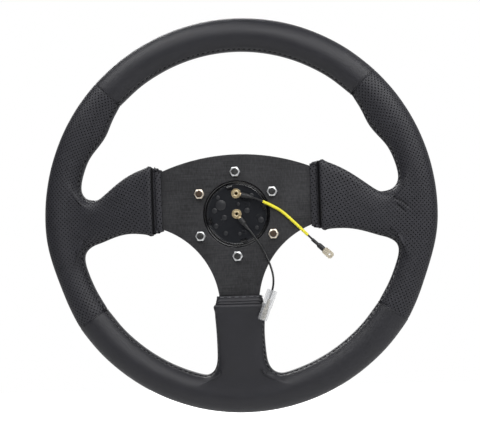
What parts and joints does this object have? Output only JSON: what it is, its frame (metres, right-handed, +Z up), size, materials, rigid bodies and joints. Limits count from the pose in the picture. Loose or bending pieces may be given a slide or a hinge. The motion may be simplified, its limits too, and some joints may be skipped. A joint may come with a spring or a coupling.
{
  "type": "car steering wheel",
  "caption": "Sports steering wheel with a dished leather rim on padded spokes, a flat metal hub plate and a sprung horn button with two loose wired leads at the back.",
  "frame": {"origin": "centre of the bolt circle, in the plane of the nuts' outer faces", "axes": "Y is the steering axis, with the driver at +Y and the hub at -Y; +Z is up when the wheel is straight, and +X is to the right as seen from the hub side"},
  "size_m": [0.35, 0.0468, 0.3494],
  "materials": {
    "plate": "brushed and dark anodised",
    "hoop": "bare",
    "foam": "moulded skin foam",
    "leather_smooth": "smooth, half gloss",
    "leather_perforated": "perforated, half gloss",
    "ring": "satin black",
    "bolts": "black oxide",
    "nuts": "bright zinc",
    "horn_plastic": "glossy black",
    "cap_plastic": "glossy black",
    "contact": "plain",
    "spring": "zinc",
    "rivet": "plain",
    "terminal": "plain",
    "shrink_sleeve": "shrunk tube",
    "lead_insulation": "smooth",
    "yellow_sleeve": "soft tube",
    "blade": "tinned",
    "receptacle": "tinned",
    "clear_sleeve": "clear and slightly cloudy"
  },
  "bodies": {
    "wheel": {"spoke_plate": "plate", "rim_hoop": "hoop", "rim_foam": "foam", "leather_top": "leather_smooth", "leather_left_grip": "leather_perforated", "leather_right_grip": "leather_perforated", "leather_bottom": "leather_smooth", "horn_ring": "ring", "ring_bolts": "bolts", "ring_nuts": "nuts", "horn_housing": "horn_plastic", "horn_base": "horn_plastic", "horn_spring": "spring", "rivet_centre": "rivet", "rivet_offset": "rivet", "terminal_centre": "terminal", "terminal_offset": "terminal", "crimp_sleeve_centre": "shrink_sleeve", "crimp_sleeve_offset": "shrink_sleeve", "lead_centre": "lead_insulation", "lead_offset": "lead_insulation", "yellow_sleeve": "yellow_sleeve", "blade_sleeve": "shrink_sleeve", "blade_terminal": "blade", "bullet_receptacle": "receptacle", "bullet_sleeve": "clear_sleeve"},
    "horn_button": {"horn_cap": "cap_plastic", "contact_disc": "contact"}
  },
  "joints": [
    {"name": "horn_press", "type": "slide", "parent": "wheel", "child": "horn_button", "axis": [0, -1, 0], "range_m": [0, 0.002], "stiffness_N_per_m": 1500, "deforming": ["horn_spring"]}
  ]
}
